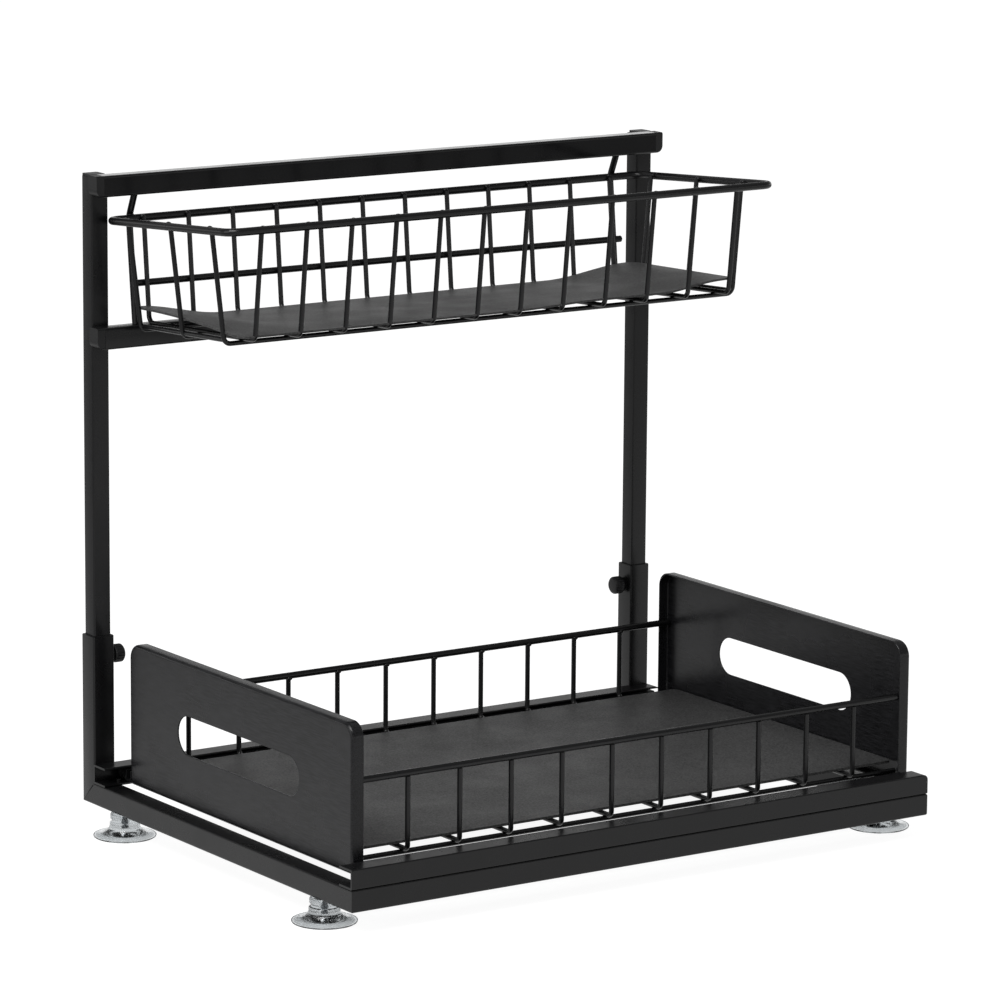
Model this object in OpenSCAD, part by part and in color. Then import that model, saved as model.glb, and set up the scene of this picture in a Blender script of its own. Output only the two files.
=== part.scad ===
/* [Frame] */
// Width of the frame, along the drawer's travel
frame_w = 400; // [360:5:480]
// Depth of the frame, front to back
frame_d = 295; // [285:5:340]
// Height from the floor to the top of the upper rail
frame_h = 387; // [377:5:440]
// Side of the square tube in the base
base_tube = 13; // [13:0.5:16]
// Wall of the base tube
base_wall = 1.2; // [1:0.1:1.4]
// Height of the sleeves above the underside of the base
sleeve_h = 101; // [95:1:120]
// Side of the square posts that slide in the sleeves
post_tube = 10; // [8.5:0.5:10]
// Wall of the posts, the upper rail and the crossbar
post_wall = 1; // [0.8:0.1:1.2]
// Height of the section of the upper rail and the crossbar
bar_h = 12.5; // [11:0.5:14]
// Depth of the section of the upper rail and the crossbar
bar_d = 10; // [9:0.5:12]
// Clear height between the crossbar and the upper rail
bar_gap = 76; // [74:1:84]
// Radius of the tubes' corners
tube_r = 1.2; // [0.6:0.1:1.5]
// Length of the end caps outside the upper rail and the crossbar
end_cap_l = 5; // [3:0.5:8]
// Radius of the end caps' lower corner
end_cap_r = 4.5; // [2:0.5:5]

/* [Height setting] */
// Distance between two height settings
hole_step = 30; // [20:1:30]
// Diameter of the holes in the posts
hole_d = 5; // [4:0.5:6]
// Depth of the thumb screws below the top of the sleeves
screw_drop = 13; // [10:1:16]
// Diameter of the thumb screws' thread
screw_d = 5; // [4:0.5:5]
// Diameter of the thumb screws' knobs
knob_d = 11; // [10:0.5:14]
// Length of the thumb screws' knobs
knob_l = 7; // [6:0.5:10]
// Thickness of the weld nuts
nut_t = 3.2; // [2.5:0.1:4]
// Length of post inside a sleeve
post_in = 66; // [60:1:68]

/* [Feet] */
// Height of the suction feet
foot_h = 14; // [12:0.5:18]
// Diameter of the suction feet at the floor
foot_d = 37; // [30:1:42]
// Diameter of the feet's necks
neck_d = 17; // [13:0.5:20]
// Distance of the feet from the front and the rear of the frame
foot_in = 38; // [30:1:60]
// Diameter of the screws that hold the feet
foot_screw_d = 4; // [3:0.5:5]

/* [Slides] */
// Height of the slide channels
track_h = 11.5; // [11:0.5:13]
// Radius of the upper corner at the channels' right end
track_end_r = 3; // [1:0.5:4]
// Thickness of the steel of the channels and the runners
slide_t = 1.2; // [1:0.1:1.3]
// Diameter of the rollers fixed in the channels
fixed_roller_d = 6.8; // [6:0.2:6.8]
// Length of the rollers
roller_l = 7; // [5:0.5:8]
// Diameter of the rollers' pins
pin_d = 3; // [2:0.5:3.5]
// Width of a runner's foot, from its web to the end plates
runner_w = 6.6; // [5:0.2:10]
// Drawer travel between the stops
travel = 240; // [180:5:250]
// Running clearance around the rollers
roller_gap = 0.1; // [0.08:0.01:0.15]

/* [Drawer] */
// Distance from the left end of the frame to the drawer
drawer_in = 13; // [10:1:16]
// Height of the end plates
plate_h = 85; // [75:1:100]
// Distance of the end plates above the base tubes
plate_lift = 2.1; // [1.5:0.1:4]
// Thickness of the end plates
plate_t = 1; // [0.8:0.1:1.2]
// Width of the flange around an end plate
plate_flange = 7.5; // [6.5:0.5:10]
// Radius of the end plates' upper corners
plate_r = 9; // [6:0.5:14]
// Radius of the end plates' folds
fold_r = 2; // [1.5:0.1:2.5]
// Length of the hand slots
slot_l = 132; // [100:1:150]
// Height of the hand slots
slot_h = 23; // [20:1:30]
// Height of the fences' top wires above the end plates' lower edge
fence_h = 52.5; // [40:0.5:65]
// Diameter of the fences' top wires
fence_wire_d = 4; // [3.5:0.5:5]
// Height of the floor's cross wires above the end plates' lower edge
floor_h = 8.7; // [8:0.1:12]
// Diameter of the low wires under the floor
low_wire_d = 3; // [2.6:0.2:3.4]
// Distance of the low wires from the fences
low_wire_in = 7; // [6:0.5:20]
// Diameter of the drawer's cross wires
cross_wire_d = 3; // [2.6:0.2:3.4]
// Number of cross wires in the drawer
cross_n = 10; // [8:1:11]
// Distance between two cross wires
cross_step = 34.5; // [30:0.5:36]
// Thickness of the drawer's liner
liner_t = 1.5; // [1:0.1:2]
// Distance of the liner from the fences
liner_in = 9; // [6.5:0.5:20]

/* [Basket] */
// Width of the basket's rim, at the middle of the wire
rim_w = 374; // [360:1:376]
// Depth of the basket's rim, at the middle of the wire
rim_d = 136; // [120:1:160]
// Distance of the rear of the rim below the upper rail
rim_drop = 13.5; // [12:0.5:18]
// Rise of the rim from rear to front
rim_rise = 10; // [6:0.5:14]
// Radius of the rim's corners
rim_r = 10; // [8:1:16]
// Diameter of the rim, the hangers and the back wire
rim_wire_d = 4; // [3.5:0.1:4.5]
// Diameter of the basket's cross wires
basket_wire_d = 2.5; // [2.2:0.1:3]
// Number of cross wires in the basket
basket_n = 12; // [10:1:12]
// Distance between two cross wires of the basket
basket_step = 30; // [26:1:31]
// Diameter of the basket's long wires and base ring
ring_wire_d = 3; // [2.6:0.1:3.4]
// Height of the cross wires above the crossbar
floor_lift = 4; // [3.8:0.1:6]
// How far the front wires lean in towards the floor
front_lean = 9; // [5:0.5:14]
// How far the side wires lean in towards the floor
side_lean = 7.8; // [5:0.1:12]
// Distance of the hangers from the middle of the basket
hanger_x = 171; // [170:1:173]
// Height of the back wire above the crossbar
back_wire_h = 24.2; // [20:0.1:40]
// Distance of the long wires from the rear of the rim
long_wire_in = [57, 103.5];
// Thickness of the basket's liner
basket_liner_t = 1.8; // [1:0.1:2]

/* [Fits] */
// Depth that welded wires sink into each other
weld = 0.15; // [0.1:0.05:0.2]
// Radial clearance of turning parts on their pins
pin_gap = 0.05; // [0.03:0.01:0.08]

/* [Hidden] */
$fn = 32;

paint = "#1c1c1d";
plastic = "#141415";
nylon = "#2a2a2c";
zinc = "#9a9ca0";
clear = "#dfe6e8";
liner_grey = "#4a4a4b";

// Frame: X runs along the drawer's travel, Y to the rear, Z up from the floor
half_w = frame_w / 2;
front_y = -frame_d / 2;
rear_y = frame_d / 2;
base_z = foot_h;
base_top = base_z + base_tube;
sleeve_top = base_z + sleeve_h;
sleeve_front = rear_y - base_tube;
tube_x = half_w - base_tube / 2;
post_y = rear_y - base_tube / 2;
post_front = post_y - post_tube / 2;
bar_y = post_front - bar_d / 2;
rail_z = frame_h - bar_h;
cross_top = rail_z - bar_gap;
cross_z = cross_top - bar_h;
post_bottom = sleeve_top - post_in;
screw_z = sleeve_top - screw_drop;
cap_t = 2.5;
cap_plug = 8;
plug_gap = 0.1;

// Slides: the channels lie on the base, open towards each other
track_z = base_top;
track_top = track_z + track_h;
track_d = base_tube;
slide_mid = (front_y + sleeve_front) / 2;
track_floor = track_z + slide_t;
track_roof = track_top - slide_t;
side_gap = 0.4;
runner_out = front_y + track_d + side_gap;
runner_in = runner_out + runner_w;
shelf_z = track_floor + 2 * roller_gap + fixed_roller_d;
runner_z = track_floor + 1.8;
runner_roller_r = (track_roof - track_floor) / 2 - roller_gap;
runner_roller_z = track_floor + roller_gap + runner_roller_r;
fixed_roller_z = track_floor + roller_gap + fixed_roller_d / 2;
fixed_roller_x = half_w - 12;
roller_y = front_y + slide_t + 1.8;
stop_h = 1.4;
stop_d = 3;
stop_away = runner_roller_r + stop_d / 2;

// Drawer
drawer_x0 = -half_w + drawer_in;
drawer_x1 = half_w;
drawer_mid = (drawer_x0 + drawer_x1) / 2;
plate_y0 = runner_in;
plate_y1 = 2 * slide_mid - plate_y0;
plate_d = plate_y1 - plate_y0;
plate_z = base_top + plate_lift;
fence_y = plate_y0 + plate_t + fence_wire_d / 2;
fence_z = plate_z + fence_h;
cross_floor = plate_z + floor_h;
low_wire_y = fence_y + low_wire_in;
low_wire_z = cross_floor - (cross_wire_d + low_wire_d) / 2 + weld;
runner_x0 = drawer_x0 + 1;
runner_x1 = drawer_x1 - 5;
runner_roller_x = runner_x0 + 5.2;
ear_l = 12;

// Basket
rim_y1 = post_front - bar_d / 2 - 0.35;
rim_y0 = rim_y1 - rim_d;
rim_z1 = rail_z - rim_drop;
rim_z0 = rim_z1 + rim_rise;
rim_slope = rim_rise / rim_d;
rim_half = rim_w / 2;
hanger_y = rim_y1 + rim_wire_d - weld;
back_lean = (hanger_y - bar_y) / (rim_z1 - cross_top);
floor_z = cross_top + floor_lift;
wire_in = (rim_wire_d + basket_wire_d) / 2 - weld;
cross_y0 = rim_y0 + wire_in;
cross_y1 = rim_y1 - wire_in;
front_slope = front_lean / (rim_z0 - floor_z);
floor_y0 = cross_y0 + front_lean;
floor_y1 = cross_y1 - back_lean * (rim_z1 - floor_z);
back_wire_z = cross_top + back_wire_h;
back_wire_y = hanger_y - back_lean * (rim_z1 - back_wire_z) - rim_wire_d + weld;
ring_z = floor_z + (basket_wire_d + ring_wire_d) / 2 - weld;
ring_in = (basket_wire_d + ring_wire_d) / 2 - weld;
ring_y0 = floor_y0 - front_slope * (ring_z - floor_z) + ring_in + 0.4;
ring_y1 = floor_y1 + back_lean * (ring_z - floor_z) - ring_in - 0.4;
long_z = floor_z - (basket_wire_d + ring_wire_d) / 2 + weld;
long_x1 = rim_half - (rim_wire_d + ring_wire_d) / 2 + weld;
long_x0 = long_x1 - side_lean;
side_slope = side_lean / (rim_z1 - long_z);
ring_x = long_x0 + side_slope * (ring_z - long_z) - ring_wire_d + weld;
liner_z = ring_z + ring_wire_d / 2;
wire_bend = 3.4;
bend_lap = 0.25;
bend_over = 0.06;

function unit(v) = v / norm(v);

// A straight round wire between two points
module rod(p, q, d) {
    v = q - p;
    translate(p)
        rotate([0, acos(v.z / norm(v)), atan2(v.y, v.x)])
            cylinder(h = norm(v), d = d);
}

// A round bend of radius r at corner b, between the legs towards a and c
module bend(a, b, c, d, r) {
    u = unit(a - b);
    w = unit(c - b);
    turn = 180 - acos(u * w);
    reach = r * tan(turn / 2);
    middle = b + unit(u + w) * r / cos(turn / 2);
    e1 = unit(b + u * reach - middle);
    n = unit(cross(w, u));
    e2 = cross(n, e1);
    multmatrix([[e1.x, e2.x, n.x, middle.x], [e1.y, e2.y, n.y, middle.y],
        [e1.z, e2.z, n.z, middle.z], [0, 0, 0, 1]])
        rotate_extrude(angle = turn)
            translate([r, 0])
                circle(d = d);
}

function trim(a, b, c, r) = r * tan((180 - acos(unit(a - b) * unit(c - b))) / 2);

// A bent wire through points p, open or closed
module wire(p, d, r, closed = false) {
    n = len(p);
    last = closed ? n - 1 : n - 2;
    for (i = [0:last]) {
        a = p[i];
        b = p[(i + 1) % n];
        v = unit(b - a);
        before = closed || i > 0 ? trim(p[(i + n - 1) % n], a, b, r) : 0;
        after = closed || i < n - 2 ? trim(a, b, p[(i + 2) % n], r) : 0;
        rod(a + v * (before - (before > 0 ? bend_lap : 0)), b - v * (after - (after > 0 ? bend_lap : 0)), d);
    }
    for (i = [closed ? 0 : 1:closed ? n - 1 : n - 2])
        bend(p[(i + n - 1) % n], p[i], p[(i + 1) % n], d + bend_over, r);
}

// A rectangle with round corners, centred
module round_rect(w, h, r) {
    square([w, h - 2 * r], center = true);
    square([w - 2 * r, h], center = true);
    for (x = [-1, 1], y = [-1, 1])
        translate([x * (w / 2 - r), y * (h / 2 - r)])
            circle(r);
}

// A rectangular tube along Z
module tube(length, w, h, wall) {
    linear_extrude(length)
        difference() {
            round_rect(w, h, tube_r);
            round_rect(w - 2 * wall, h - 2 * wall, max(tube_r - wall, 0.3));
        }
}

module along_x() {
    rotate([90, 0, 90])
        children();
}

module along_y() {
    rotate([-90, 0, 0])
        children();
}

// Base frame, mitred at its corners
module front_rail() {
    color(paint)
        intersection() {
            translate([-half_w, front_y + base_tube / 2, base_z + base_tube / 2])
                along_x()
                    tube(frame_w, base_tube, base_tube, base_wall);
            translate([0, 0, base_z])
                linear_extrude(base_tube)
                    polygon([[-half_w, front_y], [half_w, front_y],
                        [half_w - base_tube, front_y + base_tube],
                        [-half_w + base_tube, front_y + base_tube]]);
        }
}

module side_rail() {
    difference() {
        intersection() {
            translate([tube_x, front_y, base_z + base_tube / 2])
                along_y()
                    tube(frame_d, base_tube, base_tube, base_wall);
            translate([0, 0, base_z])
                linear_extrude(base_tube)
                    polygon([[half_w, front_y], [half_w, rear_y],
                        [half_w - base_tube, rear_y], [half_w - base_tube, front_y + base_tube]]);
            translate([half_w - base_tube, 0, 0])
                along_x()
                    linear_extrude(base_tube)
                        polygon([[front_y, base_z], [rear_y, base_z],
                            [sleeve_front, base_top], [front_y, base_top]]);
        }
        for (y = [front_y + foot_in, rear_y - foot_in])
            translate([tube_x, y, base_z - 1])
                cylinder(h = base_wall + 2, d = foot_screw_d + 0.4);
    }
}

module left_side_rail() {
    color(paint)
        mirror([1, 0, 0])
            side_rail();
}

module right_side_rail() {
    color(paint)
        side_rail();
}

module sleeve() {
    difference() {
        intersection() {
            translate([tube_x, post_y, base_z])
                tube(sleeve_h, base_tube, base_tube, base_wall);
            translate([half_w - base_tube, 0, 0])
                along_x()
                    linear_extrude(base_tube)
                        polygon([[rear_y, base_z], [rear_y, sleeve_top],
                            [sleeve_front, sleeve_top], [sleeve_front, base_top]]);
        }
        translate([half_w - base_tube - 1, post_y, screw_z])
            along_x()
                cylinder(h = base_wall + 2, d = screw_d + 0.6);
    }
}

module left_sleeve() {
    color(paint)
        mirror([1, 0, 0])
            sleeve();
}

module right_sleeve() {
    color(paint)
        sleeve();
}

// Slide channel at the front; its flanges point to the rear
module track() {
    intersection() {
        translate([-half_w, 0, 0])
            along_x()
                linear_extrude(frame_w)
                    difference() {
                        translate([front_y + track_d / 2, track_z + track_h / 2])
                            round_rect(track_d, track_h, 0.8);
                        translate([front_y + slide_t, track_floor])
                            square([track_d, track_roof - track_floor]);
                    }
        translate([0, front_y + 2 * track_d, 0])
            rotate([90, 0, 0])
                linear_extrude(3 * track_d) {
                    translate([-half_w, track_z])
                        square([frame_w - track_end_r, track_h]);
                    translate([-half_w, track_z])
                        square([frame_w, track_h - track_end_r]);
                    translate([half_w - track_end_r, track_top - track_end_r])
                        circle(track_end_r);
                }
    }
    for (x = [runner_roller_x - stop_away, runner_roller_x + travel + stop_away])
        translate([x, front_y + track_d / 2, track_floor])
            cylinder(h = stop_h, d = stop_d);
}

module to_rear() {
    translate([0, 2 * slide_mid, 0])
        mirror([0, 1, 0])
            children();
}

module front_track() {
    color(paint)
        track();
}

module rear_track() {
    color(paint)
        to_rear()
            track();
}

// Suction foot: thin bell, neck and a blind hole for its screw
foot_profile = concat(
    [[foot_screw_d / 2 + pin_gap, foot_h], [foot_screw_d / 2 + pin_gap, foot_h - 9.2],
        [0, foot_h - 9.2], [0, 2.8]],
    [for (k = [0.35, 0.6, 0.8, 0.92]) [(foot_d / 2 - 1.5) * k, 2.8 * (1 - k * k)]],
    [[foot_d / 2 - 1.5, 0], [foot_d / 2 - 0.6, 0], [foot_d / 2, 0.5]],
    [for (a = [0:18:90]) [foot_d / 2 - (foot_d - neck_d) / 2 * sin(a),
        1.1 + (foot_h - 7.2) * (1 - cos(a))]],
    [[neck_d / 2, foot_h - 5.4], [neck_d / 2 - 1, foot_h - 4.8], [neck_d / 2 - 1, foot_h - 3.6],
        [neck_d / 2, foot_h - 3], [neck_d / 2, foot_h - 0.8], [neck_d / 2 - 0.8, foot_h]]);

module foot(x, y) {
    color(clear, 0.6)
        translate([x, y, 0])
            rotate_extrude()
                polygon(foot_profile);
}

module front_left_foot() {
    foot(-tube_x, front_y + foot_in);
}

module front_right_foot() {
    foot(tube_x, front_y + foot_in);
}

module rear_left_foot() {
    foot(-tube_x, rear_y - foot_in);
}

module rear_right_foot() {
    foot(tube_x, rear_y - foot_in);
}

// Pan-head screws that hold the feet, heads inside the tubes
module foot_screws() {
    color(zinc)
        for (x = [-tube_x, tube_x], y = [front_y + foot_in, rear_y - foot_in])
            translate([x, y, base_z]) {
                translate([0, 0, -8.8])
                    cylinder(h = 8.8 + base_wall + 0.5, d = foot_screw_d);
                translate([0, 0, base_wall])
                    cylinder(h = 2.2, d = foot_screw_d * 1.8);
            }
}

// Thumb screws: a weld nut on each sleeve, a threaded shank and a fluted knob
module weld_nut() {
    translate([half_w - base_tube - nut_t, post_y, screw_z])
        along_x()
            difference() {
                rotate(30)
                    cylinder(h = nut_t, d = screw_d * 1.75, $fn = 6);
                translate([0, 0, -1])
                    cylinder(h = nut_t + 2, r = screw_d / 2 + pin_gap);
            }
}

screw_tip = half_w - base_tube + base_wall;
knob_face = half_w - base_tube - nut_t - 0.3;
shank_end = knob_face - 4;

module screw() {
    translate([shank_end, post_y, screw_z])
        along_x()
            cylinder(h = screw_tip - shank_end, d = screw_d);
}

module knob() {
    translate([knob_face - knob_l, post_y, screw_z])
        along_x()
            difference() {
                union() {
                    cylinder(h = 1.2, d1 = knob_d - 2, d2 = knob_d);
                    translate([0, 0, 1.2])
                        cylinder(h = knob_l - 2, d = knob_d);
                    translate([0, 0, knob_l - 0.8])
                        cylinder(h = 0.8, d1 = knob_d, d2 = knob_d - 1.4);
                }
                for (i = [0:11])
                    rotate(i * 30)
                        translate([knob_d / 2 + 0.5, 0, -1])
                            cylinder(h = knob_l + 2, r = 1, $fn = 16);
                translate([0, 0, knob_l - 4.3])
                    cylinder(h = 5, r = screw_d / 2 + pin_gap);
            }
}

module left_weld_nut() {
    color(paint)
        mirror([1, 0, 0])
            weld_nut();
}

module right_weld_nut() {
    color(paint)
        weld_nut();
}

module left_screw() {
    color(zinc)
        mirror([1, 0, 0])
            screw();
}

module right_screw() {
    color(zinc)
        screw();
}

module left_knob() {
    color(plastic)
        mirror([1, 0, 0])
            knob();
}

module right_knob() {
    color(plastic)
        knob();
}

// Rollers turn on pins along Y
module roller(x, z, r) {
    translate([x, roller_y, z])
        along_y()
            difference() {
                union() {
                    cylinder(h = roller_l, r = r - 0.4);
                    translate([0, 0, 0.6])
                        cylinder(h = roller_l - 1.2, r = r);
                }
                translate([0, 0, -1])
                    cylinder(h = roller_l + 2, r = pin_d / 2 + pin_gap);
            }
}

module track_pin() {
    translate([fixed_roller_x, front_y + slide_t - weld, fixed_roller_z])
        along_y()
            cylinder(h = roller_y - front_y - slide_t + roller_l + 0.6 + weld, d = pin_d);
}

module runner_pin() {
    translate([runner_roller_x, roller_y - 0.6, runner_roller_z])
        along_y()
            cylinder(h = runner_out - roller_y + 0.6 + weld, d = pin_d);
}

module track_roller_pins() {
    color(zinc) {
        track_pin();
        to_rear()
            track_pin();
    }
}

module runner_roller_pins() {
    color(zinc) {
        runner_pin();
        to_rear()
            runner_pin();
    }
}

module front_track_roller() {
    color(nylon)
        roller(fixed_roller_x, fixed_roller_z, fixed_roller_d / 2);
}

module rear_track_roller() {
    color(nylon)
        to_rear()
            roller(fixed_roller_x, fixed_roller_z, fixed_roller_d / 2);
}

module front_runner_roller() {
    color(nylon)
        roller(runner_roller_x, runner_roller_z, runner_roller_r);
}

module rear_runner_roller() {
    color(nylon)
        to_rear()
            roller(runner_roller_x, runner_roller_z, runner_roller_r);
}

// Runner: its shelf rides over the fixed roller, its foot carries the end plates
module runner() {
    translate([runner_x0, 0, 0])
        along_x() {
            linear_extrude(runner_x1 - runner_x0)
                union() {
                    translate([runner_out, runner_z])
                        square([slide_t, shelf_z + slide_t - runner_z]);
                    translate([runner_out, runner_z])
                        square([runner_w, slide_t]);
                    translate([runner_in - slide_t, runner_z])
                        square([slide_t, shelf_z + slide_t - runner_z]);
                }
            translate([0, 0, ear_l])
                linear_extrude(runner_x1 - runner_x0 - ear_l)
                    translate([roller_y - 0.6, shelf_z])
                        square([runner_out - roller_y + 0.6 + slide_t, slide_t]);
        }
}

module front_runner() {
    color(paint)
        runner();
}

module rear_runner() {
    color(paint)
        to_rear()
            runner();
}

// Upper frame
module post() {
    difference() {
        translate([tube_x, post_y, post_bottom])
            tube(frame_h - post_bottom - cap_t / 2, post_tube, post_tube, post_wall);
        for (i = [-1:1])
            translate([half_w - base_tube, post_y, screw_z + i * hole_step])
                along_x()
                    cylinder(h = base_tube / 2, d = hole_d);
    }
}

module left_post() {
    color(paint)
        mirror([1, 0, 0])
            post();
}

module right_post() {
    color(paint)
        post();
}

// A plug for the end of a tube, along Z, with its face at 0
module tube_plug(w, h, wall, face) {
    translate([0, 0, -face])
        linear_extrude(face)
            round_rect(w, h, tube_r);
    linear_extrude(cap_plug)
        round_rect(w - 2 * (wall + plug_gap), h - 2 * (wall + plug_gap), 0.5);
}

module post_caps() {
    color(plastic)
        for (x = [-tube_x, tube_x])
            translate([x, post_y, frame_h - cap_t / 2])
                rotate([180, 0, 0])
                    tube_plug(post_tube, post_tube, post_wall, cap_t / 2);
}

module bar(z) {
    translate([-half_w + end_cap_l, bar_y, z + bar_h / 2])
        along_x()
            tube(frame_w - 2 * end_cap_l, bar_d, bar_h, post_wall);
}

module top_rail() {
    color(paint)
        bar(rail_z);
}

module crossbar() {
    color(paint)
        bar(cross_z);
}

// End cap of a bar: a plug and a block whose outer lower corner is round
module bar_cap(z) {
    turn_r = min(end_cap_r, end_cap_l - 0.1);
    translate([half_w - end_cap_l, bar_y, z + bar_h / 2])
        mirror([1, 0, 0])
            along_x()
                linear_extrude(cap_plug)
                    round_rect(bar_d - 2 * (post_wall + plug_gap), bar_h - 2 * (post_wall + plug_gap), 0.5);
    intersection() {
        translate([half_w - end_cap_l, bar_y, z + bar_h / 2])
            along_x()
                linear_extrude(end_cap_l)
                    round_rect(bar_d, bar_h, tube_r);
        translate([0, bar_y + bar_d, 0])
            rotate([90, 0, 0])
                linear_extrude(2 * bar_d) {
                    translate([half_w - end_cap_l, z + turn_r])
                        square([end_cap_l, bar_h - turn_r]);
                    translate([half_w - end_cap_l, z])
                        square([end_cap_l - turn_r, bar_h]);
                    translate([half_w - turn_r, z + turn_r])
                        circle(turn_r);
                }
    }
}

module rail_end_caps() {
    color(plastic)
        for (z = [rail_z, cross_z]) {
            bar_cap(z);
            mirror([1, 0, 0])
                bar_cap(z);
        }
}

// Basket
module hanger(x) {
    wire([[x, bar_y, rail_z + weld * 2], [x, hanger_y, rim_z1], [x, bar_y, cross_top - weld * 2]],
        rim_wire_d, 8);
}

module left_hanger() {
    color(paint)
        hanger(-hanger_x);
}

module right_hanger() {
    color(paint)
        hanger(hanger_x);
}

module basket_rim() {
    color(paint)
        wire([[-rim_half, rim_y0, rim_z0], [rim_half, rim_y0, rim_z0], [rim_half, rim_y1, rim_z1],
            [-rim_half, rim_y1, rim_z1]], rim_wire_d, rim_r, closed = true);
}

module basket_back_wire() {
    reach = hanger_x + rim_wire_d / 2 + 1;
    color(paint)
        rod([-reach, back_wire_y, back_wire_z], [reach, back_wire_y, back_wire_z], rim_wire_d);
}

module basket_cross_wires() {
    over = rim_wire_d / 2 - 0.4;
    color(paint)
        for (i = [0:basket_n - 1]) {
            x = (i - (basket_n - 1) / 2) * basket_step;
            wire([[x, cross_y0 - front_slope * over, rim_z0 + over], [x, floor_y0, floor_z],
                [x, floor_y1, floor_z], [x, cross_y1 + back_lean * over, rim_z1 + over]],
                basket_wire_d, wire_bend);
        }
}

module long_wire(from_rear) {
    y = rim_y1 - from_rear;
    top = rim_z1 + rim_slope * from_rear + rim_wire_d / 2 - 0.4;
    reach = long_x0 + side_slope * (top - long_z);
    wire([[-reach, y, top], [-long_x0, y, long_z], [long_x0, y, long_z], [reach, y, top]],
        ring_wire_d, wire_bend);
}

module basket_long_wire_rear() {
    color(paint)
        long_wire(long_wire_in[0]);
}

module basket_long_wire_front() {
    color(paint)
        long_wire(long_wire_in[1]);
}

module basket_base_ring() {
    color(paint)
        wire([[-ring_x, ring_y0, ring_z], [ring_x, ring_y0, ring_z], [ring_x, ring_y1, ring_z],
            [-ring_x, ring_y1, ring_z]], ring_wire_d, rim_r, closed = true);
}

module basket_liner() {
    color(liner_grey)
        translate([0, (ring_y0 + ring_y1) / 2, liner_z])
            linear_extrude(basket_liner_t)
                round_rect(2 * ring_x, ring_y1 - ring_y0, rim_r - 2);
}

// Drawer
module plate_outline(w, h, top_r, low_r) {
    translate([0, low_r])
        square([w, h - top_r - low_r]);
    translate([low_r, 0])
        square([w - 2 * low_r, low_r + 0.01]);
    translate([top_r, h - top_r - 0.01])
        square([w - 2 * top_r, top_r + 0.01]);
    for (x = [top_r, w - top_r])
        translate([x, h - top_r])
            circle(top_r);
    for (x = [low_r, w - low_r])
        translate([x, low_r])
            circle(low_r);
}

// Section of a plate across its width: depth d, with the face's two edges rounded
module fold_section(w, d, r) {
    translate([0, r])
        square([w, d - r]);
    translate([r, 0])
        square([w - 2 * r, 2 * r]);
    for (x = [r, w - r])
        translate([x, r])
            circle(r);
}

// Solid block of a plate: its outline, with the folds rounded along the straight edges
module plate_solid(w, h, depth, top_r, r) {
    intersection() {
        linear_extrude(depth)
            plate_outline(w, h, top_r, r);
        rotate([90, 0, 0])
            translate([0, 0, -h])
                linear_extrude(h)
                    fold_section(w, depth, r);
        rotate([90, 0, 90])
            linear_extrude(w)
                fold_section(h, depth, r);
    }
}

module end_plate() {
    difference() {
        plate_solid(plate_d, plate_h, plate_flange, plate_r, fold_r);
        translate([plate_t, plate_t, plate_t])
            plate_solid(plate_d - 2 * plate_t, plate_h - 2 * plate_t, plate_flange,
                plate_r - plate_t, fold_r - plate_t);
        translate([plate_d / 2, plate_h / 2, -1])
            linear_extrude(plate_t + 2) {
                square([slot_l - slot_h, slot_h], center = true);
                for (x = [-1, 1])
                    translate([x * (slot_l - slot_h) / 2, 0])
                        circle(d = slot_h);
            }
    }
}

module left_end_plate() {
    color(paint)
        translate([drawer_x0, plate_y0, plate_z])
            along_x()
                end_plate();
}

module right_end_plate() {
    color(paint)
        translate([drawer_x1, plate_y0, plate_z])
            mirror([1, 0, 0])
                along_x()
                    end_plate();
}

module top_wire() {
    rod([drawer_x0 + plate_t, fence_y, fence_z],
        [drawer_x1 - plate_t, fence_y, fence_z], fence_wire_d);
}

module low_wire() {
    rod([drawer_x0 + plate_t, low_wire_y, low_wire_z], [drawer_x1 - plate_t, low_wire_y, low_wire_z],
        low_wire_d);
}

module front_top_wire() {
    color(paint)
        top_wire();
}

module rear_top_wire() {
    color(paint)
        to_rear()
            top_wire();
}

module front_low_wire() {
    color(paint)
        low_wire();
}

module rear_low_wire() {
    color(paint)
        to_rear()
            low_wire();
}

module drawer_cross_wires() {
    rear_fence = 2 * slide_mid - fence_y;
    top = fence_z - fence_wire_d / 2 + 2 * weld;
    color(paint)
        for (i = [0:cross_n - 1]) {
            x = drawer_mid + (i - (cross_n - 1) / 2) * cross_step;
            wire([[x, fence_y, top], [x, fence_y, cross_floor], [x, rear_fence, cross_floor],
                [x, rear_fence, top]], cross_wire_d, wire_bend);
        }
}

module drawer_liner() {
    color(liner_grey)
        translate([drawer_mid, slide_mid, cross_floor + cross_wire_d / 2])
            linear_extrude(liner_t)
                round_rect(drawer_x1 - drawer_x0 - 2 * plate_t - 1,
                    2 * (slide_mid - fence_y - liner_in), 4);
}

front_rail();
left_side_rail();
right_side_rail();
left_sleeve();
right_sleeve();
front_track();
rear_track();
front_left_foot();
front_right_foot();
rear_left_foot();
rear_right_foot();
foot_screws();
left_weld_nut();
right_weld_nut();
track_roller_pins();
front_track_roller();
rear_track_roller();
left_post();
right_post();
post_caps();
top_rail();
crossbar();
rail_end_caps();
left_hanger();
right_hanger();
basket_rim();
basket_back_wire();
basket_cross_wires();
basket_long_wire_front();
basket_long_wire_rear();
basket_base_ring();
basket_liner();
left_screw();
left_knob();
right_screw();
right_knob();
left_end_plate();
right_end_plate();
front_top_wire();
rear_top_wire();
front_low_wire();
rear_low_wire();
drawer_cross_wires();
drawer_liner();
front_runner();
rear_runner();
runner_roller_pins();
front_runner_roller();
rear_runner_roller();
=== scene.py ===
import math

import bmesh
import bpy
import numpy as np
from mathutils import Matrix, Vector


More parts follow.
